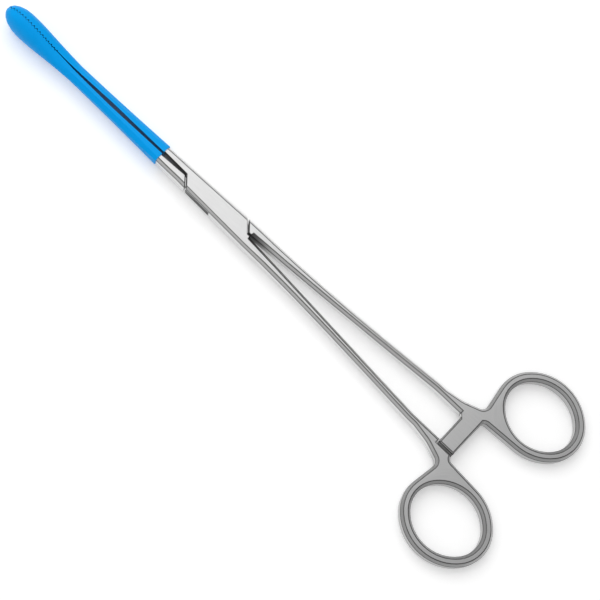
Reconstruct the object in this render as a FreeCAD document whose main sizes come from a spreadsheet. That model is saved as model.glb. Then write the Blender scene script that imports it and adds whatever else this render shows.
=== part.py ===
import FreeCAD, Part
import math
import os
import re
import Sketcher

# Ring-handled sponge forceps, closed on the last ratchet step.
# +X runs from the pivot to the jaw tips, +Y is the side of the male jaw, +Z is up.
# The pieces are drawn round the middle plane of the box lock. The finished pieces then stand on
# the underside of the box lock, so the origin lies there, on the pivot axis. Sizes in millimetres.

SIZES = {
    # Box lock
    "box_thick": 5.6,
    "box_reach": 16.0,
    "box_far": 30.0,
    "wide_reach": 8.0,
    "far_reach": 104.0,
    "box_half_front": 3.55,
    "box_half_rear": 4.5,
    "edge_cut": 1.0,
    "seam_crotch": 14.9,
    "seam_slant": 0.9,
    "seam_gap": 0.8,
    "crotch_gap": 0.4,
    "open_angle": 36.0,
    "tongue_thick": 2.2,
    "tongue_half": 3.0,
    "tongue_reach": 16.5,
    "tongue_foot": 0.8,
    "far_slot": 22.0,
    "slot_play": 0.05,
    "slot_side_play": 0.15,
    "pin_radius": 1.3,
    "pin_play": 0.04,
    # Blue layer and front shanks, closed pair, bare metal
    "coat_thick": 0.35,
    "coat_end": 25.9,
    "collar_half": 3.4,
    "collar_thick": 5.0,
    "neck_at": 45.0,
    "neck_half": 3.08,
    "neck_thick": 4.4,
    "throat_at": 64.0,
    "throat_half": 2.85,
    "throat_thick": 4.1,
    "front_cut": 1.3,
    "throat_end": 76.0,
    # Oval jaws, closed pair, over the layer
    "bulb_start": 56.0,
    "bulb_start_half": 2.7,
    "bulb_start_rise": 2.0,
    "bulb_foot": 68.0,
    "bulb_foot_half": 3.35,
    "bulb_foot_rise": 2.55,
    "bulb_swell": 78.0,
    "bulb_swell_half": 3.9,
    "bulb_swell_rise": 3.75,
    "bulb_broad": 86.5,
    "bulb_broad_half": 4.38,
    "bulb_broad_rise": 5.6,
    "bulb_top": 93.0,
    "jaw_half": 4.45,
    "jaw_rise": 6.4,
    "nose_long": 8.3,
    # Parting faces of the jaws, over the layer
    "parting_flat": 89.0,
    "parting_heel": 76.0,
    "parting_bow": 51.0,
    "bow_gap": 0.75,
    "heel_gap": 0.15,
    "collar_gap": 0.45,
    "crest_female": 0.35,
    "crest_male": 0.05,
    "root_female": 0.5,
    "root_male": 0.53,
    "tooth_pitch": 1.4,
    "tooth_count": 18,
    "tooth_first": 77.4,
    "wedge_long": 1.7,
    # Rear shanks
    "root_gap": 0.45,
    "upper_at": 40.0,
    "upper_centre": 3.4,
    "upper_wide": 3.15,
    "upper_thick": 4.8,
    "lower_at": 72.0,
    "lower_centre": 5.4,
    "lower_wide": 2.75,
    "lower_thick": 4.6,
    "shank_end": 98.0,
    "shank_inner": 5.9,
    "shank_outer": 8.7,
    "shank_lead": 3.0,
    "bow_thick": 5.5,
    # Finger rings and their necks
    "ring_at": 130.8,
    "ring_side": 25.0,
    "ring_half_long": 17.0,
    "ring_half_wide": 15.0,
    "ring_end_radius": 13.2,
    "ring_band": 3.6,
    "flare_at": 108.0,
    "flare_side": 9.9,
    "neck_outer_at": 115.6,
    "neck_outer_side": 12.7,
    "neck_inner_side": 9.2,
    "neck_outer_round": 2.6,
    "neck_inner_round": 1.8,
    "flare_round": 14.0,
    # Ratchet bars
    "bar_front": 111.0,
    "bar_rear": 117.6,
    "bar_tip": 7.0,
    "bar_root": 9.6,
    "bar_gap": 0.2,
    "bar_cut": 0.5,
    "bar_flare": 1.0,
    "bar_recess": 8.1,
    "recess_play": 0.6,
    "ratchet_depth": 0.7,
    "ratchet_pitch": 1.9,
    "ratchet_count": 4,
    "ratchet_first": -5.6,
}

# The radius of the ring's long sides, so that they meet its ends smoothly
RING_SIDE_RADIUS = ("((ring_half_long - ring_end_radius) ^ 2 + ring_half_wide ^ 2"
                    " - ring_end_radius ^ 2) / (2 * (ring_half_wide - ring_end_radius))")

# The box lock tapers, so its bevels are this much wider across than they are deep
BOX_LEAN = "sqrt(1 + ((box_half_rear - box_half_front) / (2 * box_reach)) ^ 2)"

# The jaws' outlines have this many flats, and their tip bends in steps of these angles
JAW_FLATS = 20
TIP_ANGLES = (0, 18, 36, 54, 70, 82)

FUNCTIONS = {"sqrt", "cos", "sin", "tan", "atan"}

doc = FreeCAD.newDocument("sponge_forceps")
sheet = doc.addObject("Spreadsheet::Sheet", "Sizes")


def fill_sheet():
    for row, (name, value) in enumerate(SIZES.items(), start=1):
        sheet.set("A%d" % row, name)
        sheet.set("B%d" % row, str(value))
        sheet.setAlias("B%d" % row, name)
    doc.recompute()


def bound(text):
    """A formula in plain size names, as an expression that reads the sheet."""
    def swap(match):
        word = match.group(0)
        return word if word in FUNCTIONS else "Sizes." + word
    return re.sub(r"[a-z][a-z_]+", swap, text)


def size(text):
    """The present value of such a formula."""
    value = sheet.evalExpression(bound(text))
    return float(getattr(value, "Value", value))


def bind(item, path, text):
    item.setExpression(path, bound(text))


def new_body(name):
    return doc.addObject("PartDesign::Body", name)


def origin_part(body, role):
    return [part for part in body.Origin.OriginFeatures if part.Role == role][0]


def new_sketch(body, name, role, offset=None):
    drawing = body.newObject("Sketcher::SketchObject", name)
    drawing.AttachmentSupport = [(origin_part(body, role), "")]
    drawing.MapMode = "FlatFace"
    if offset is not None:
        bind(drawing, "AttachmentOffset.Base.z", offset)
    return drawing


def hold(drawing, kind, places, text):
    """A driving constraint whose value comes from the sheet."""
    index = drawing.addConstraint(Sketcher.Constraint(kind, *places, size(text)))
    bind(drawing, "Constraints[%d]" % index, text)


def hold_point(drawing, item, end, across, along):
    """Fixes a point by its two coordinates, or on an axis where one of them is nought."""
    for kind, axis, text in [("DistanceX", -2, across), ("DistanceY", -1, along)]:
        if text == "0":
            drawing.addConstraint(Sketcher.Constraint("PointOnObject", item, end, axis))
        else:
            hold(drawing, kind, (-1, 1, item, end), text)


def vector(across, along):
    return FreeCAD.Vector(across, along, 0)


def polygon(drawing, corners):
    """A closed outline through corners given as pairs of formulas."""
    spots = [vector(size(across), size(along)) for across, along in corners]
    count = len(spots)
    for here in range(count):
        drawing.addGeometry(Part.LineSegment(spots[here], spots[(here + 1) % count]), False)
    for here in range(count):
        drawing.addConstraint(Sketcher.Constraint("Coincident", here, 2, (here + 1) % count, 1))
    for here, (across, along) in enumerate(corners):
        hold_point(drawing, here, 1, across, along)


def oval(drawing, half, rise):
    """A closed outline of equal-angle flats that touch an ellipse round the origin."""
    step = 360 / JAW_FLATS
    corners = []
    for turn in range(JAW_FLATS):
        angle = step * (turn + 0.5)
        corners.append(("(%s) / cos(%g) * cos(%g)" % (half, step / 2, angle),
                        "(%s) / cos(%g) * sin(%g)" % (rise, step / 2, angle)))
    polygon(drawing, corners)


def cut_box(drawing, middle, wide, high, down, across):
    """A rectangle with bevelled corners, centred on the first axis at the given place."""
    right = "%s + (%s) / 2" % (middle, wide)
    left = "%s - (%s) / 2" % (middle, wide)
    top = "(%s) / 2" % high
    polygon(drawing, [
        (right, "%s - (%s)" % (top, down)),
        ("%s - (%s)" % (right, across), top),
        ("%s + (%s)" % (left, across), top),
        (left, "%s - (%s)" % (top, down)),
        (left, "(%s) - %s" % (down, top)),
        ("%s + (%s)" % (left, across), "-" + top),
        ("%s - (%s)" % (right, across), "-" + top),
        (right, "(%s) - %s" % (down, top)),
    ])


def pad(body, drawing, length, middle=True):
    feature = body.newObject("PartDesign::Pad", drawing.Name + "_pad")
    feature.Profile = drawing
    feature.Midplane = middle
    bind(feature, "Length", length)
    drawing.Visibility = False
    doc.recompute()
    return feature


def plate(name, corners, thick):
    """A body with one straight-sided plate, centred on the middle plane."""
    body = new_body(name)
    drawing = new_sketch(body, name + "_outline", "XY_Plane")
    polygon(drawing, corners)
    pad(body, drawing, thick)
    return body


def loft(name, drawings, body, ruled=False):
    feature = body.newObject("PartDesign::AdditiveLoft", name + "_loft")
    feature.Profile = drawings[0]
    feature.Sections = drawings[1:]
    feature.Ruled = ruled
    doc.recompute()
    return body


def dress_edges(body, kind, name, text, wanted):
    """Rounds or bevels the edges of the body's last feature for which wanted(edge) is true."""
    base = body.Tip
    names = ["Edge%d" % (place + 1) for place, edge in enumerate(base.Shape.Edges) if wanted(edge)]
    feature = body.newObject("PartDesign::" + kind, name)
    feature.Base = (base, names)
    bind(feature, "Radius" if kind == "Fillet" else "Size", text)
    doc.recompute()
    return feature


def join(name, shapes):
    item = doc.addObject("Part::MultiFuse", name)
    item.Shapes = shapes
    item.Refine = True
    return item


def overlap(name, first, second):
    item = doc.addObject("Part::Common", name)
    item.Base = first
    item.Tool = second
    return item


def take_away(name, first, second):
    item = doc.addObject("Part::Cut", name)
    item.Base = first
    item.Tool = second
    item.Refine = True
    return item


# Forms that both arms share: the closed pair as one bar, before it is parted

def box_blank():
    """The box lock's outer form: a slightly tapered block with bevelled long edges."""
    body = plate("box_blank", [
        ("box_reach", "-box_half_front"),
        ("box_reach", "box_half_front"),
        ("-box_reach", "box_half_rear"),
        ("-box_reach", "-box_half_rear"),
    ], "box_thick")

    def along(edge):
        return edge.BoundBox.XLength > size("box_reach")
    dress_edges(body, "Chamfer", "box_bevel", "edge_cut", along)
    return body


def bar_form(name, skin, stations):
    """The closed pair of front shanks, grown by a skin over the bare metal."""
    body = new_body(name)
    drawings = []
    for number, (place, half, thick, cut, lean) in enumerate(stations):
        drawing = new_sketch(body, "%s_%d" % (name, number), "YZ_Plane", place)
        leg = "%s + (2 - sqrt(2)) * %s" % (cut, skin)
        cut_box(drawing, "0", "2 * (%s + %s)" % (half, skin), "%s + 2 * %s" % (thick, skin),
                leg, "(%s) * %s" % (leg, lean))
        drawings.append(drawing)
    return loft(name, drawings, body)


def bulb_form(name, inset):
    """The closed pair of oval jaws up to their broadest place, less an inset."""
    places = []
    for word in ["start", "foot", "swell", "broad"]:
        places.append(("bulb_" + word, "bulb_%s_half" % word, "bulb_%s_rise" % word))
    places.append(("bulb_top", "jaw_half", "jaw_rise"))
    body = new_body(name)
    drawings = []
    for number, (place, half, rise) in enumerate(places):
        drawing = new_sketch(body, "%s_%d" % (name, number), "YZ_Plane", place)
        oval(drawing, "%s - %s" % (half, inset), "%s - %s" % (rise, inset))
        drawings.append(drawing)
    return loft(name, drawings, body)


def nose_form(name, inset):
    """The rounded tip of the closed jaws, as flats that follow half of an ellipsoid."""
    body = new_body(name)
    drawings = []
    for angle in TIP_ANGLES:
        place = "bulb_top + (nose_long - %s) * sin(%d)" % (inset, angle)
        drawing = new_sketch(body, "%s_%d" % (name, angle), "YZ_Plane", place)
        oval(drawing, "(jaw_half - %s) * cos(%d)" % (inset, angle),
             "(jaw_rise - %s) * cos(%d)" % (inset, angle))
        drawings.append(drawing)
    return loft(name, drawings, body, ruled=True)


def closed_pair(name, inset, stations, extra):
    """The closed jaws and front shanks as one bar, with what else belongs to it."""
    skin = "coat_thick" if inset == "0" else "0"
    shanks = bar_form(name + "_shanks", skin, stations)
    bulb = bulb_form(name + "_bulb", inset)
    nose = nose_form(name + "_nose", inset)
    return join(name, extra + [shanks, bulb, nose])


# Plan outlines that part the closed pair into its two arms

def seam(sign, gap, side):
    """A point of the slanting front seam, at the given distance from the middle line."""
    return ("seam_crotch %s seam_gap / 2 - seam_slant * (%s)" % (gap, side), sign + "(%s)" % side)


def jaw_face(sign, crest, growth):
    """The parting face of one jaw, from the tip back to the end of the layer."""
    return [
        ("far_reach", crest),
        ("parting_flat", crest),
        ("parting_heel", "%s(heel_gap + %s)" % (sign, growth)),
        ("parting_bow", "%s(bow_gap + %s)" % (sign, growth)),
        ("coat_end", "%s(collar_gap + %s)" % (sign, growth)),
    ]


def turned(corners):
    """The same outline turned half a turn about the pivot."""
    return [("-(%s)" % across, "-(%s)" % along) for across, along in corners]


def female_region(name):
    front = jaw_face("-", "crest_female - coat_thick", "coat_thick")
    front.append(("seam_crotch - seam_gap / 2 + seam_slant * crotch_gap", "-crotch_gap"))
    front.append(("seam_crotch - seam_gap / 2 - seam_slant * wide_reach", "wide_reach"))
    rear = [
        ("-box_far", "wide_reach"),
        ("-box_far", "crotch_gap"),
        ("-(seam_crotch - seam_gap / 2 + seam_slant * crotch_gap)", "crotch_gap"),
        ("-(seam_crotch - seam_gap / 2 - seam_slant * wide_reach)", "-wide_reach"),
        ("far_reach", "-wide_reach"),
    ]
    return plate(name, front + rear, "wide_reach * 3")


def male_front_region(name):
    corners = jaw_face("", "crest_male + coat_thick", "coat_thick")
    corners.append(("seam_crotch + seam_gap / 2 - seam_slant * crotch_gap", "crotch_gap"))
    corners.append(("seam_crotch + seam_gap / 2 - seam_slant * wide_reach", "wide_reach"))
    corners.append(("far_reach", "wide_reach"))
    return plate(name, corners, "wide_reach * 3")


def male_rear_region(name):
    return plate(name, [
        ("-box_far", "-wide_reach"),
        ("-(seam_crotch + seam_gap / 2 - seam_slant * wide_reach)", "-wide_reach"),
        ("-(seam_crotch + seam_gap / 2 - seam_slant * crotch_gap)", "-crotch_gap"),
        ("-box_far", "-crotch_gap"),
    ], "wide_reach * 3")


def coat_region(name, sign, crest):
    corners = jaw_face(sign, crest, "0")
    corners.append(("coat_end", sign + "wide_reach"))
    corners.append(("far_reach", sign + "wide_reach"))
    return plate(name, corners, "wide_reach * 3")


def comb(name, first, root, opening):
    """A row of wedges that cut the cross grooves of one jaw face. The wedges open towards
    +Y with opening "" and towards -Y with opening "-"."""
    body = new_body(name)
    drawing = new_sketch(body, name + "_wedge", "XY_Plane")
    mouth = "%s %s wedge_long" % (root, "-" if opening == "-" else "+")
    spread = "tooth_pitch / 2 * wedge_long / (crest_female + root_female)"
    polygon(drawing, [
        (first, root),
        ("%s + %s" % (first, spread), mouth),
        ("%s - %s" % (first, spread), mouth),
    ])
    wedge = pad(body, drawing, "wide_reach * 2.5")
    row = body.newObject("PartDesign::LinearPattern", name + "_row")
    row.Originals = [wedge]
    row.Direction = (origin_part(body, "X_Axis"), [""])
    bind(row, "Length", "tooth_pitch * (tooth_count - 1)")
    bind(row, "Occurrences", "tooth_count")
    body.Tip = row
    doc.recompute()
    return body


# Box lock

def tongue_form():
    """The thin strap of the male arm that crosses inside the box."""
    half = [
        ("tongue_reach", "tongue_foot"),
        ("tongue_reach", "tongue_half"),
        ("0", "tongue_half"),
    ]
    return plate("tongue", half + turned(half[:2]) + [("0", "-tongue_half")], "tongue_thick")


def slot_form():
    """The space that the strap sweeps inside the box from shut to fully open."""
    edge = "(tongue_half + slot_side_play)"
    sector = [
        ("0", "-" + edge),
        ("far_slot", "(tongue_foot + tongue_half) / tongue_reach * far_slot - " + edge),
        ("far_slot", "far_slot"),
        ("far_slot * cos(open_angle) - %s * sin(open_angle)" % edge,
         "far_slot * sin(open_angle) + %s * cos(open_angle)" % edge),
        ("-%s * sin(open_angle)" % edge, "%s * cos(open_angle)" % edge),
    ]
    thick = "tongue_thick + 2 * slot_play"
    front = plate("slot_front", sector, thick)
    rear = plate("slot_rear", [point if point[0] != "0" else ("0", edge)
                               for point in turned(sector)], thick)
    hub = rod("slot_hub", edge, thick)
    return join("slot", [front, rear, hub])


def rod(name, radius, tall):
    """A round rod on the pivot axis, centred on the middle plane."""
    body = new_body(name)
    drawing = new_sketch(body, name + "_outline", "XY_Plane")
    ring = Part.Circle(vector(0, 0), FreeCAD.Vector(0, 0, 1), size(radius))
    item = drawing.addGeometry(ring, False)
    drawing.addConstraint(Sketcher.Constraint("Coincident", item, 3, -1, 1))
    hold(drawing, "Radius", (item,), radius)
    pad(body, drawing, tall)
    return body


# Rear half of one arm, drawn for the female arm on the +Y side

def rear_shank(name):
    body = new_body(name)
    stations = [
        ("-box_reach", "(box_half_rear + root_gap) / 2", "box_half_rear - root_gap", "box_thick",
         BOX_LEAN),
    ]
    for word in ["upper", "lower"]:
        stations.append(("-%s_at" % word, word + "_centre", word + "_wide", word + "_thick", "1"))
    stations.append(("-shank_end", "(shank_outer + shank_inner) / 2",
                     "shank_outer - shank_inner", "bow_thick", "1"))
    drawings = []
    for number, (place, centre, wide, thick, lean) in enumerate(stations):
        drawing = new_sketch(body, "%s_%d" % (name, number), "YZ_Plane", place)
        cut_box(drawing, centre, wide, thick, "edge_cut", "edge_cut * " + lean)
        drawings.append(drawing)
    return loft(name, drawings, body)


def oval_arcs(inset):
    """The four arcs of the ring's outline, less an inset: front, outer side, rear, inner side."""
    end_radius = size("ring_end_radius - (%s)" % inset)
    side_radius = size(RING_SIDE_RADIUS + " - (%s)" % inset)
    shift = size("ring_half_long - ring_end_radius")
    drop = size(RING_SIDE_RADIUS + " - ring_half_wide")
    middle = vector(size("-ring_at"), size("ring_side"))
    bend = math.atan2(drop, shift)
    turns = [
        (vector(shift, 0), end_radius, -bend, bend),
        (vector(0, -drop), side_radius, bend, math.pi - bend),
        (vector(-shift, 0), end_radius, math.pi - bend, math.pi + bend),
        (vector(0, drop), side_radius, math.pi + bend, 2 * math.pi - bend),
    ]
    return [(middle + shift_by, radius, start, stop) for shift_by, radius, start, stop in turns]


def touch_angle(centre, radius, corner, turn):
    """The angle on a circle where a line from an outside corner touches it."""
    away = vector(size(corner[0]), size(corner[1])) - centre
    return math.atan2(away.y, away.x) + turn * math.acos(radius / away.Length)


def draw_arcs(drawing, arcs):
    shapes = []
    for centre, radius, start, stop in arcs:
        circle = Part.Circle(centre, FreeCAD.Vector(0, 0, 1), radius)
        shapes.append(Part.ArcOfCircle(circle, start, stop))
    return [drawing.addGeometry(shape, False) for shape in shapes], shapes


def hold_oval(drawing, items, inset):
    """Fixes the four arcs of an oval. The side arcs' centres lie on the ring's cross line."""
    front, outer, rear, inner = items
    drawing.addConstraint(Sketcher.Constraint("Tangent", front, 2, outer, 1))
    drawing.addConstraint(Sketcher.Constraint("Tangent", outer, 2, rear, 1))
    drawing.addConstraint(Sketcher.Constraint("Tangent", rear, 2, inner, 1))
    drawing.addConstraint(Sketcher.Constraint("Equal", front, rear))
    drawing.addConstraint(Sketcher.Constraint("Equal", outer, inner))
    hold_point(drawing, front, 3, "-ring_at + ring_half_long - ring_end_radius", "ring_side")
    hold_point(drawing, rear, 3, "-ring_at - ring_half_long + ring_end_radius", "ring_side")
    hold(drawing, "Radius", (front,), "ring_end_radius - (%s)" % inset)
    hold(drawing, "Radius", (outer,), RING_SIDE_RADIUS + " - (%s)" % inset)


def ring_and_neck(name):
    """The finger ring with the neck that joins it to the shank and the ratchet bar."""
    body = new_body(name)
    drawing = new_sketch(body, name + "_outline", "XY_Plane")
    outer_corner = ("-neck_outer_at", "neck_outer_side")
    inner_corner = ("-bar_rear", "neck_inner_side")
    arcs = oval_arcs("0")
    centre, radius, _, stop = arcs[0]
    arcs[0] = (centre, radius, touch_angle(centre, radius, outer_corner, 1), stop)
    centre, radius, start, _ = arcs[3]
    arcs[3] = (centre, radius, start, touch_angle(centre, radius, inner_corner, -1) + 2 * math.pi)
    items, shapes = draw_arcs(drawing, arcs)
    corners = [
        inner_corner,
        ("-bar_rear", "shank_inner"),
        ("-shank_end", "shank_inner"),
        ("-shank_end", "shank_outer"),
        ("-shank_end - shank_lead", "shank_outer"),
        ("-flare_at", "flare_side"),
        outer_corner,
    ]
    spots = [vector(size(across), size(along)) for across, along in corners]
    stops = [shapes[3].EndPoint] + spots + [shapes[0].StartPoint]
    lines = []
    for here in range(len(stops) - 1):
        lines.append(drawing.addGeometry(Part.LineSegment(stops[here], stops[here + 1]), False))
    for here, (across, along) in enumerate(corners):
        drawing.addConstraint(Sketcher.Constraint("Coincident", lines[here], 2, lines[here + 1], 1))
        hold_point(drawing, lines[here + 1], 1, across, along)
    hold_oval(drawing, items, "0")
    hold(drawing, "DistanceX", (-1, 1, items[3], 3), "-ring_at")
    drawing.addConstraint(Sketcher.Constraint("Tangent", items[3], 2, lines[0], 1))
    drawing.addConstraint(Sketcher.Constraint("Tangent", lines[-1], 2, items[0], 1))
    hole, _ = draw_arcs(drawing, oval_arcs("ring_band"))
    drawing.addConstraint(Sketcher.Constraint("Tangent", hole[3], 2, hole[0], 1))
    hold_oval(drawing, hole, "ring_band")
    pad(body, drawing, "bow_thick")

    def upright_at(corner):
        def wanted(edge):
            box = edge.BoundBox
            near_x = abs(box.Center.x - size(corner[0])) < 0.01
            near_y = abs(box.Center.y - size(corner[1])) < 0.01
            return near_x and near_y and box.ZLength > 1
        return wanted
    dress_edges(body, "Fillet", name + "_outer_round", "neck_outer_round",
                upright_at(outer_corner))
    dress_edges(body, "Fillet", name + "_inner_round", "neck_inner_round",
                upright_at(inner_corner))
    dress_edges(body, "Fillet", name + "_flare_round", "flare_round",
                upright_at(("-flare_at", "flare_side")))

    def rim(edge):
        box = edge.BoundBox
        at_shank = box.XLength < 0.01 and abs(box.Center.x + size("shank_end")) < 0.01
        return box.ZLength < 0.01 and not at_shank
    dress_edges(body, "Chamfer", name + "_rim", "edge_cut", rim)
    return body


def ratchet_bar(name):
    """One ratchet bar: half the thickness of the neck, with teeth towards the other bar."""
    body = new_body(name)
    drawing = new_sketch(body, name + "_outline", "XY_Plane", "-bow_thick / 2")
    polygon(drawing, [
        ("-bar_front", "-bar_tip"),
        ("-bar_front", "shank_inner - bar_flare"),
        ("-bar_front + bar_flare", "shank_inner"),
        ("-bar_front + bar_flare", "bar_root"),
        ("-bar_rear", "bar_root"),
        ("-bar_rear", "-bar_tip"),
    ])
    pad(body, drawing, "(bow_thick - bar_gap) / 2", False)

    def outer_rim(edge):
        box = edge.BoundBox
        at_root = box.Center.y > size("shank_inner - bar_flare") + 0.01
        return box.ZMax < size("-bow_thick / 2") + 0.01 and not at_root
    dress_edges(body, "Chamfer", name + "_rim", "bar_cut", outer_rim)
    tooth = new_sketch(body, name + "_tooth", "YZ_Plane", "-bar_front")
    top = "-bar_gap / 2"
    polygon(tooth, [
        ("ratchet_first", top),
        ("ratchet_first + ratchet_pitch", top),
        ("ratchet_first + ratchet_pitch * 0.85", top + " - ratchet_depth"),
    ])
    groove = body.newObject("PartDesign::Pocket", name + "_groove")
    groove.Profile = tooth
    groove.Midplane = True
    bind(groove, "Length", "4 * (bar_rear - bar_front)")
    doc.recompute()
    row = body.newObject("PartDesign::LinearPattern", name + "_teeth")
    row.Originals = [groove]
    row.Direction = (origin_part(body, "Y_Axis"), [""])
    bind(row, "Length", "ratchet_pitch * (ratchet_count - 1)")
    bind(row, "Occurrences", "ratchet_count")
    body.Tip = row
    doc.recompute()
    return body


def bar_recess(name):
    """The step in the neck that takes the tip of the other arm's ratchet bar."""
    item = doc.addObject("Part::Box", name)
    bind(item, "Length", "bar_rear - bar_front + 2 * recess_play")
    bind(item, "Width", "bar_recess")
    bind(item, "Height", "bow_thick")
    bind(item, "Placement.Base.x", "-bar_rear - recess_play")
    bind(item, "Placement.Base.z", "-bar_gap / 2")
    return item


def rear_half(name):
    """Shank, neck, finger ring and ratchet bar of one arm."""
    neck = take_away(name + "_neck", ring_and_neck(name + "_ring"), bar_recess(name + "_recess"))
    return join(name, [rear_shank(name + "_shank"), neck, ratchet_bar(name + "_bar")])


# The five pieces

def female_body(pair):
    """The female arm without its pin bore: outer form, slot, jaw teeth and rear half."""
    outline = overlap("female_front", pair, female_region("female_outline"))
    slotted = take_away("female_box", outline, slot_form())
    teeth = comb("female_core_comb", "tooth_first", "-root_female - coat_thick", "")
    grooved = take_away("female_jaw", slotted, teeth)
    return join("female_metal", [grooved, rear_half("female_rear")])


def male_body(pair):
    """The male arm without its pin bore. Its rear half is the female one turned over."""
    front = overlap("male_front", pair, male_front_region("male_front_outline"))
    teeth = comb("male_core_comb", "tooth_first + tooth_pitch / 2", "root_male + coat_thick", "-")
    grooved = take_away("male_jaw", front, teeth)
    heel = overlap("male_heel", pair, male_rear_region("male_rear_outline"))
    rear = rear_half("male_rear")
    rear.Placement = FreeCAD.Placement(FreeCAD.Vector(0, 0, 0),
                                       FreeCAD.Rotation(FreeCAD.Vector(1, 0, 0), 180))
    return join("male_metal", [grooved, heel, tongue_form(), rear])


def coating(name, pair, metal, outline, teeth):
    """The blue layer on one jaw and front shank: its outer form less the metal inside."""
    form = overlap(name + "_form", pair, outline)
    toothed = take_away(name + "_toothed", form, teeth)
    return take_away(name, toothed, metal)


def build():
    """The five pieces, by node name."""
    shanks = [
        ("coat_end", "collar_half", "collar_thick", "edge_cut", "1"),
        ("neck_at", "neck_half", "neck_thick", "front_cut", "1"),
        ("throat_at", "throat_half", "throat_thick", "front_cut", "1"),
        ("throat_end", "throat_half", "throat_thick", "front_cut", "1"),
    ]
    root = ("box_reach", "box_half_front", "box_thick", "edge_cut", BOX_LEAN)
    metal_pair = closed_pair("metal_pair", "coat_thick", [root] + shanks, [box_blank()])
    coat_pair = closed_pair("coat_pair", "0", shanks, [])
    female_metal = female_body(metal_pair)
    male_metal = male_body(metal_pair)
    plate_bore = rod("plate_bore", "pin_radius", "2 * box_thick")
    tongue_bore = rod("tongue_bore", "pin_radius + pin_play", "2 * box_thick")
    return {
        "female_arm": take_away("female_piece", female_metal, plate_bore),
        "male_arm": take_away("male_piece", male_metal, tongue_bore),
        "lock_pin": rod("pin", "pin_radius", "box_thick"),
        "female_jaw_coating": coating(
            "female_coat", coat_pair, female_metal,
            coat_region("female_coat_outline", "-", "crest_female"),
            comb("female_coat_comb", "tooth_first", "-root_female", "")),
        "male_jaw_coating": coating(
            "male_coat", coat_pair, male_metal,
            coat_region("male_coat_outline", "", "crest_male"),
            comb("male_coat_comb", "tooth_first + tooth_pitch / 2", "root_male", "-")),
    }


def stand_on_underside(pieces):
    """Names each piece and moves it up, so that the origin is on the box lock's underside."""
    for label, item in pieces.items():
        item.Label = label
        bind(item, "Placement.Base.z", "box_thick / 2")
    doc.recompute()


def check(pieces):
    failed = [item.Name for item in doc.Objects if {"Invalid", "Error"} & set(item.State)]
    if failed:
        raise RuntimeError("these objects failed: " + ", ".join(failed))
    for label, item in pieces.items():
        if item.Shape.isNull() or not item.Shape.isValid():
            raise RuntimeError(label + " has no valid shape")


def export(pieces):
    os.makedirs("parts", exist_ok=True)
    for label, item in pieces.items():
        item.Shape.exportStep("parts/%s.step" % label)


fill_sheet()
finished = build()
stand_on_underside(finished)
check(finished)
export(finished)
for label, item in finished.items():
    print(label, len(item.Shape.Solids), "solid,", round(item.Shape.Volume, 1), "cubic mm")
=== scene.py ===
import math

import bpy
from mathutils import Matrix, Vector


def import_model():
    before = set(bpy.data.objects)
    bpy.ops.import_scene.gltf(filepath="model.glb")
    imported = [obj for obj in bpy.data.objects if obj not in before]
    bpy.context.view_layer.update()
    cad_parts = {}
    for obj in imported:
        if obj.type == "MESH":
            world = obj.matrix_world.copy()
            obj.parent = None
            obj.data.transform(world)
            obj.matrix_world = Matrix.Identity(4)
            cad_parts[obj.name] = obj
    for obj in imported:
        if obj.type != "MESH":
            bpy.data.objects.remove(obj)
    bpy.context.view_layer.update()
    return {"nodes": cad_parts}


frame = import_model()
nodes = frame["nodes"]

MM = 0.001

# Camera: its place and the point that it looks at, in the part's own frame
EYE = Vector((-89.9, 200.2, 591.9)) * MM
AIM = Vector((-43.50, 3.70, 2.8)) * MM
ROLL_DEGREES = -1.65
PICTURE_PIXELS = 600
FOCAL_PIXELS = 1814.0
NEAREST_SEEN = 10.0 * MM

# Directions in space as the picture shows them
OVERHEAD = Vector((0.0, 0.0, 1.0))
UP_IN_PICTURE = Vector((0.6997, -0.7145, 0.0))
RIGHT_IN_PICTURE = UP_IN_PICTURE.cross(OVERHEAD)

# The floor's width, and the part's lowest points, which it touches
FLOOR_WIDTH = 6000.0 * MM
JAW_LOW = Vector((92.0, 0.0, -3.62)) * MM
RING_LOW = Vector((-147.8, 0.0, 0.03)) * MM

# The middle of each finger ring, and its band's mean radius
RING_AT = -130.8 * MM
RING_SIDE = 25.0 * MM
RING_RADIUS = 13.0 * MM

# The box lock ends here, and its side walls lie outside this distance from the middle line
BOX_REACH = 16.2 * MM
BOX_SIDE = 2.9 * MM

# Where each finish, painted shade and painted light begins and is complete: places along X, and
# distances from a ring's middle, from a box wall, from the box's end and from a seam
INNER_SHADE_SPAN = (-28.0 * MM, -16.0 * MM)
WALL_PAINTED_LIGHT_SPAN = (-118.0 * MM, -106.0 * MM)
ROUND_BRUSHING = (20.5 * MM, 17.5 * MM)
BEHIND_BOX_WALL = 0.2 * MM
BEYOND_BOX = 0.5 * MM
NEAR_SEAM = (4.0 * MM, 3.5 * MM)

# How far a face leans towards a direction where it begins to count, and where it counts fully
LEANING = (0.4, 0.6)
UPRIGHT = (0.9, 0.6)

# The sharp edges of the steel are softened this wide, except those of the pin's bore
EDGE_SOFTNESS = 0.2 * MM
BORE_CLEAR = 2.0 * MM
SHARP_EDGE = math.radians(30.0)
CREASE = math.radians(45.0)
FLAT = math.radians(0.5)
SAME_POINT = 0.001 * MM

# Colours, linear red, green and blue
STEEL = ((0.465, 0.465, 0.465, 1.0), (0.495, 0.495, 0.493, 1.0))
STEEL_STREAK = (0.445, 0.445, 0.447, 1.0)
# painted light: the upright shank walls are lighter to stand in for the floor that they reflect
STEEL_WALL_PAINTED_LIGHT = (0.74, 0.74, 0.738, 1.0)
# painted shade: the steel's inner faces between the arms and the walls of the box's seams are
# darkened
STEEL_GAP_SHADE = (0.14, 0.14, 0.14, 1.0)
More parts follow.
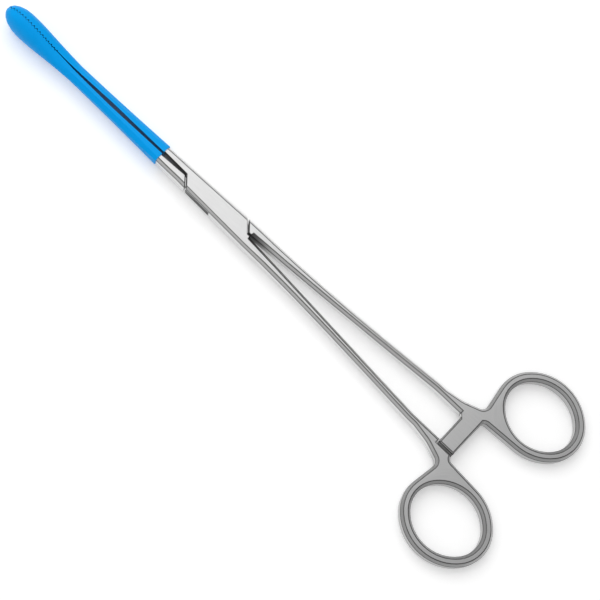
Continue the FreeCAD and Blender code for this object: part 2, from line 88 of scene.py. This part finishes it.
# painted shade: the softened edges are darkened into fine dark lines along the creases
STEEL_EDGE_SHADE = ((0.08, 0.08, 0.08, 1.0), (0.15, 0.15, 0.149, 1.0))
BLUE = ((0.0, 0.36, 0.90, 1.0), (0.0, 0.39, 0.96, 1.0))
# painted shade: the blue layer's inner faces in the gap between the jaws are darkened
BLUE_GAP_SHADE = (0.0, 0.13, 0.35, 1.0)
FLOOR = (0.90, 0.90, 0.90, 1.0)
WHITE = (1.0, 1.0, 1.0, 1.0)

# Noise per metre: brushing along and across its direction, grain, orange peel, the mottle of the
# edges' painted shade, and clouds
BRUSHING = (160.0, 5200.0, 5200.0)
GRAIN = 5200.0
ORANGE_PEEL = 1300.0
EDGE_MOTTLE = 400.0
STEEL_CLOUDS = 55.0
BLUE_CLOUDS = 90.0

# The brushing's noise where its streaks begin to show, and where they show fully
STREAKS_SHOWN = (0.35, 0.7)

# Roughness where the noise is low and where it is high, and the strength and depth of the relief
STEEL_ROUGHNESS = (0.26, 0.36)
STEEL_UNEVEN = (-0.03, 0.04)
UNPOLISHED_ROUGHER = 0.2
STEEL_RELIEF = (0.12, 0.02 * MM)
EDGE_ROUGHNESS = (0.3, 0.45)
BLUE_ROUGHNESS = (0.33, 0.42)
BLUE_UNEVEN = (-0.03, 0.03)
BLUE_RELIEF = (0.10, 0.03 * MM)

# Light that the floor adds where it is seen, and light of the pale room
FLOOR_GLOW = 0.29
ROOM_LIGHT = 0.5


# Node helpers

class Graph:
    """Short calls for adding and linking nodes."""

    def __init__(self, tree):
        self.tree = tree

    def put(self, socket, value):
        if isinstance(value, bpy.types.NodeSocket):
            self.tree.links.new(value, socket)
        else:
            socket.default_value = value

    def add(self, kind, inputs=None, **settings):
        node = self.tree.nodes.new(kind)
        for key, value in settings.items():
            setattr(node, key, value)
        for key, value in (inputs or {}).items():
            self.put(node.inputs[key], value)
        return node

    def math(self, operation, first, second=0.0):
        return self.add("ShaderNodeMath", {0: first, 1: second}, operation=operation).outputs[0]

    def plus(self, first, second):
        return self.math("ADD", first, second)

    def times(self, first, second):
        return self.math("MULTIPLY", first, second)

    def size(self, value):
        return self.math("ABSOLUTE", value)

    def greatest(self, first, second):
        return self.math("MAXIMUM", first, second)

    def split(self, vector):
        return list(self.add("ShaderNodeSeparateXYZ", {"Vector": vector}).outputs)

    def noise(self, vector, scale, detail=3.0, roughness=0.5):
        return self.add("ShaderNodeTexNoise", {
            "Vector": vector, "Scale": scale, "Detail": detail, "Roughness": roughness,
        }).outputs["Fac"]

    def spread(self, value, low, high):
        """Maps 0..1 to low..high."""
        return self.add("ShaderNodeMapRange", {
            "Value": value, "To Min": low, "To Max": high,
        }).outputs["Result"]

    def window(self, value, start, stop):
        """Rises smoothly from 0 to 1 as the value goes from start to stop."""
        return self.add("ShaderNodeMapRange", {
            "Value": value, "From Min": start, "From Max": stop,
        }, interpolation_type="SMOOTHSTEP").outputs["Result"]

    def blend(self, factor, first, second):
        """Goes from the first colour or vector to the second as the factor goes from 0 to 1."""
        node = self.add("ShaderNodeMix", {"Factor": factor}, data_type="RGBA")
        for key, value in (("A", first), ("B", second)):
            self.put([s for s in node.inputs if s.name == key and s.type == "RGBA"][0], value)
        return [s for s in node.outputs if s.type == "RGBA"][0]

    def bump(self, height, strength, distance):
        return self.add("ShaderNodeBump", {
            "Height": height, "Strength": strength, "Distance": distance,
        }).outputs[0]

    def place(self):
        return self.add("ShaderNodeTexCoord").outputs["Object"]

    def normal(self):
        return self.add("ShaderNodeTexCoord").outputs["Normal"]

    def surface(self, shader):
        self.add("ShaderNodeOutputMaterial", {"Surface": shader.outputs[0]})


def new_material(name):
    """An empty material, and the graph that fills it."""
    material = bpy.data.materials.new(name)
    material.use_nodes = True
    material.node_tree.nodes.clear()
    return material, Graph(material.node_tree)


# Materials. Each arm's jaw lies on its side of the middle line (female -1, male 1) and its
# finger ring on the other one.

def brushed_coordinates(graph, side):
    """Coordinates whose first direction follows the brushing: along the shanks, and round the
    finger ring of the arm on the given side."""
    place = graph.place()
    from_ring = graph.add("ShaderNodeVectorMath", {0: place, 1: (RING_AT, -side * RING_SIDE, 0.0)},
                          operation="SUBTRACT").outputs[0]
    x, y, z = graph.split(from_ring)
    radius = graph.math("SQRT", graph.plus(graph.times(x, x), graph.times(y, y)))
    arc = graph.times(graph.math("ARCTAN2", y, x), RING_RADIUS)
    round_way = graph.add("ShaderNodeCombineXYZ", {"X": arc, "Y": radius, "Z": z}).outputs[0]
    return graph.blend(graph.window(radius, *ROUND_BRUSHING), place, round_way)


def gap_and_seam_shade(graph, side):
    """Nears 1 on the faces that look towards the other arm, and in the seams of the box: where
    the steel and the blue layer are darkened as painted shade, and the steel is also made rougher."""
    lean_along, lean_across, _ = graph.split(graph.normal())
    along, across, _ = graph.split(graph.place())
    facing = graph.times(graph.times(lean_across, graph.math("SIGN", along)), -side)
    gap_shade = graph.window(facing, *LEANING)
    beyond_box = graph.window(graph.size(along), BOX_REACH, BOX_REACH + BEYOND_BOX)
    within_box = graph.window(graph.size(across), BOX_SIDE, BOX_SIDE - BEHIND_BOX_WALL)
    reached = graph.greatest(beyond_box, within_box)
    walls = graph.times(graph.times(gap_shade, reached), graph.window(along, *INNER_SHADE_SPAN))
    steep = graph.window(graph.size(lean_along), *LEANING)
    from_seam = graph.size(graph.math("SUBTRACT", graph.size(along), BOX_REACH))
    return graph.greatest(walls, graph.times(steep, graph.window(from_seam, *NEAR_SEAM)))


def painted_light_walls(graph):
    """Nears 1 on the upright faces in front of the handles, where the steel is painted lighter:
    painted light that stands in for the floor they reflect.
    """
    upright = graph.window(graph.size(graph.split(graph.normal())[2]), *UPRIGHT)
    return graph.times(upright, graph.window(graph.split(graph.place())[0], *WALL_PAINTED_LIGHT_SPAN))


def steel(name, side):
    """Satin stainless steel: fine brushing, a matt grain and faint wear, with painted shade and a
    rougher finish on the inner faces and seams, and painted light on the shank walls.
    """
    material, graph = new_material(name)
    stretched = graph.add("ShaderNodeMapping", {
        "Vector": brushed_coordinates(graph, side), "Scale": BRUSHING}).outputs[0]
    streaks = graph.noise(stretched, 1.0, detail=4.0, roughness=0.6)
    grain = graph.noise(graph.place(), GRAIN, detail=2.0)
    clouds = graph.noise(graph.place(), STEEL_CLOUDS)
    # painted shade on the inner faces and in the seams, which are also made rougher
    gap_shade = gap_and_seam_shade(graph, side)
    plain = graph.blend(clouds, *STEEL)
    streaky = graph.blend(graph.window(streaks, *STREAKS_SHOWN), plain, STEEL_STREAK)
    # painted light on the upright shank walls
    wall_lit = graph.blend(painted_light_walls(graph), streaky, STEEL_WALL_PAINTED_LIGHT)
    satin = graph.plus(graph.spread(streaks, *STEEL_ROUGHNESS),
                       graph.spread(clouds, *STEEL_UNEVEN))
    height = graph.plus(graph.times(streaks, 0.6), graph.times(grain, 0.4))
    graph.surface(graph.add("ShaderNodeBsdfPrincipled", {
        "Base Color": graph.blend(gap_shade, wall_lit, STEEL_GAP_SHADE),
        "Metallic": 1.0,
        "Roughness": graph.plus(satin, graph.times(gap_shade, UNPOLISHED_ROUGHER)),
        "Normal": graph.bump(height, *STEEL_RELIEF),
    }))
    return material


def edge_shade_steel(name):
    """The rounded edges of the steel, painted dark as painted shade that stands in for the dark
    lines along the creases, mottled at random.
    """
    material, graph = new_material(name)
    # mottled painted shade along the edges
    edge_mottle = graph.noise(graph.place(), EDGE_MOTTLE, roughness=0.6)
    graph.surface(graph.add("ShaderNodeBsdfPrincipled", {
        "Base Color": graph.blend(edge_mottle, *STEEL_EDGE_SHADE),
        "Metallic": 1.0,
        "Roughness": graph.spread(edge_mottle, *EDGE_ROUGHNESS),
    }))
    return material


def blue_layer(name, side):
    """Bright blue insulating layer: smooth, faintly uneven, with painted shade in deep blue on the
    inner faces.
    """
    material, graph = new_material(name)
    clouds = graph.noise(graph.place(), BLUE_CLOUDS, roughness=0.55)
    orange_peel = graph.noise(graph.place(), ORANGE_PEEL, detail=2.0)
    specks = graph.noise(graph.place(), GRAIN, detail=2.0)
    bright = graph.blend(clouds, *BLUE)
    height = graph.plus(graph.times(orange_peel, 0.8), graph.times(specks, 0.2))
    # the inner faces get painted shade in deep blue
    graph.surface(graph.add("ShaderNodeBsdfPrincipled", {
        "Base Color": graph.blend(gap_and_seam_shade(graph, side), bright, BLUE_GAP_SHADE),
        "Roughness": graph.plus(graph.spread(clouds, *BLUE_ROUGHNESS),
                                graph.spread(specks, *BLUE_UNEVEN)),
        "IOR": 1.5,
        "Specular IOR Level": 0.07,
        "Normal": graph.bump(height, *BLUE_RELIEF),
    }))
    return material


def paint(node, material):
    piece = nodes[node]
    for slot in piece.material_slots:
        slot.material = material
    return piece


# Edges: node groups find the sharp ones, and the modifiers soften or keep them

def edge_group(name, least_angle, make_store):
    """A geometry node group that marks the edges that are sharper than the angle."""
    group = bpy.data.node_groups.new(name, "GeometryNodeTree")
    for way in ("INPUT", "OUTPUT"):
        group.interface.new_socket("Geometry", in_out=way, socket_type="NodeSocketGeometry")
    graph = Graph(group)
    start = graph.add("NodeGroupInput").outputs[0]
    angle = graph.add("GeometryNodeInputMeshEdgeAngle").outputs["Unsigned Angle"]
    sharp = graph.add("FunctionNodeCompare", {0: angle, 1: least_angle},
                      operation="GREATER_THAN")
    graph.add("NodeGroupOutput", {0: make_store(graph, start, sharp.outputs[0])})
    return group


def store_bevel(graph, geometry, sharp):
    """Marks the sharp edges for the bevel, apart from the rim of the pin's bore."""
    place = graph.add("GeometryNodeInputPosition").outputs[0]
    flat = graph.add("ShaderNodeVectorMath", {0: place, 1: (1.0, 1.0, 0.0)}, operation="MULTIPLY")
    reach = graph.add("ShaderNodeVectorMath", {0: flat.outputs[0]}, operation="LENGTH")
    away = graph.add("FunctionNodeCompare", {0: reach.outputs["Value"], 1: BORE_CLEAR},
                     operation="GREATER_THAN")
    wanted = graph.add("FunctionNodeBooleanMath", {0: sharp, 1: away.outputs[0]}, operation="AND")
    return graph.add("GeometryNodeStoreNamedAttribute", {
        "Geometry": geometry, "Name": "bevel_weight_edge", "Value": wanted.outputs[0],
    }, data_type="FLOAT", domain="EDGE").outputs[0]


def store_crease(graph, geometry, sharp):
    """Keeps the sharp edges sharp where the rest is shaded smooth."""
    smooth = graph.add("GeometryNodeSetShadeSmooth", {
        "Geometry": geometry, "Shade Smooth": True}, domain="FACE").outputs[0]
    return graph.add("GeometryNodeSetShadeSmooth", {
        "Geometry": smooth, "Selection": sharp, "Shade Smooth": False}, domain="EDGE").outputs[0]


def weld(piece):
    piece.modifiers.new("weld", "WELD").merge_threshold = SAME_POINT


def smooth(piece, creases):
    """Shades a piece smooth between its sharp edges."""
    weld(piece)
    piece.modifiers.new("creases", "NODES").node_group = creases
    normals = piece.modifiers.new("normals", "WEIGHTED_NORMAL")
    normals.keep_sharp = True


def soften(piece, weights, edge_material):
    """Takes the sharpness off the long edges of a piece; the bevels carry the edge material's
    painted shade and show as fine darker lines.
    """
    piece.data.materials.append(edge_material)
    weld(piece)
    flat = piece.modifiers.new("flat", "DECIMATE")
    flat.decimate_type = "DISSOLVE"
    flat.angle_limit = FLAT
    piece.modifiers.new("weights", "NODES").node_group = weights
    soft = piece.modifiers.new("soft_edges", "BEVEL")
    soft.width = EDGE_SOFTNESS
    soft.segments = 2
    soft.limit_method = "WEIGHT"
    soft.use_clamp_overlap = False
    soft.material = len(piece.data.materials) - 1
    piece.modifiers.new("normals", "WEIGHTED_NORMAL")


weights = edge_group("edge_weights", SHARP_EDGE, store_bevel)
creases = edge_group("creases", CREASE, store_crease)
dark_edge = edge_shade_steel("dark_edge_steel")
soften(paint("female_arm", steel("female_satin_steel", -1.0)), weights, dark_edge)
soften(paint("male_arm", steel("male_satin_steel", 1.0)), weights, dark_edge)
paint("lock_pin", steel("pin_steel", -1.0))
smooth(paint("female_jaw_coating", blue_layer("female_blue_layer", -1.0)), creases)
smooth(paint("male_jaw_coating", blue_layer("male_blue_layer", 1.0)), creases)


# Floor, light and camera

def floor():
    """The floor touches the jaws and the thinner finger rings, so it slopes a little."""
    slope = math.atan2(RING_LOW.z - JAW_LOW.z, JAW_LOW.x - RING_LOW.x)
    bpy.ops.mesh.primitive_plane_add(size=FLOOR_WIDTH, location=JAW_LOW)
    plane = bpy.context.object
    plane.name = "floor"
    plane.rotation_euler = (0.0, slope, 0.0)
    material, graph = new_material("pale_floor")
    rays = graph.add("ShaderNodeLightPath").outputs
    seen = graph.greatest(rays["Is Camera Ray"],
                          graph.greatest(rays["Is Glossy Ray"], rays["Is Transmission Ray"]))
    matt = graph.add("ShaderNodeBsdfDiffuse", {"Color": FLOOR})
    glow = graph.add("ShaderNodeEmission", {
        "Color": WHITE, "Strength": graph.times(seen, FLOOR_GLOW)})
    graph.surface(graph.add("ShaderNodeAddShader", {0: matt.outputs[0], 1: glow.outputs[0]}))
    plane.data.materials.append(material)


def world():
    """A pale room."""
    sky = bpy.data.worlds.new("room")
    bpy.context.scene.world = sky
    sky.use_nodes = True
    back = sky.node_tree.nodes["Background"]
    back.inputs["Color"].default_value = WHITE
    back.inputs["Strength"].default_value = ROOM_LIGHT


def lamp(name, up, right, wide, power):
    """A soft lamp over the middle of the part, shifted in the picture's own directions."""
    data = bpy.data.lights.new(name, "AREA")
    data.shape = "SQUARE"
    data.size = wide
    data.energy = power
    item = bpy.data.objects.new(name, data)
    bpy.context.scene.collection.objects.link(item)
    middle = Vector((AIM.x, AIM.y, 0.0))
    item.location = middle + UP_IN_PICTURE * up + RIGHT_IN_PICTURE * right + OVERHEAD
    item.rotation_euler = (middle - item.location).to_track_quat("-Z", "Y").to_euler()


def camera():
    forward = (AIM - EYE).normalized()
    right = forward.cross(UP_IN_PICTURE).normalized()
    up = right.cross(forward)
    roll = math.radians(ROLL_DEGREES)
    across = math.cos(roll) * right + math.sin(roll) * up
    upward = -math.sin(roll) * right + math.cos(roll) * up
    turn = Matrix((across, upward, -forward)).transposed()
    data = bpy.data.cameras.new("camera")
    data.sensor_fit = "HORIZONTAL"
    data.lens = data.sensor_width * FOCAL_PIXELS / PICTURE_PIXELS
    data.clip_start = NEAREST_SEEN
    item = bpy.data.objects.new("camera", data)
    item.matrix_world = Matrix.Translation(EYE) @ turn.to_4x4()
    bpy.context.scene.collection.objects.link(item)
    bpy.context.scene.camera = item


floor()
world()
lamp("key", up=0.56, right=-0.25, wide=1.2, power=6.6)
lamp("fill", up=-0.4, right=-0.6, wide=1.2, power=1.6)
camera()
bpy.context.scene.view_settings.view_transform = "Standard"
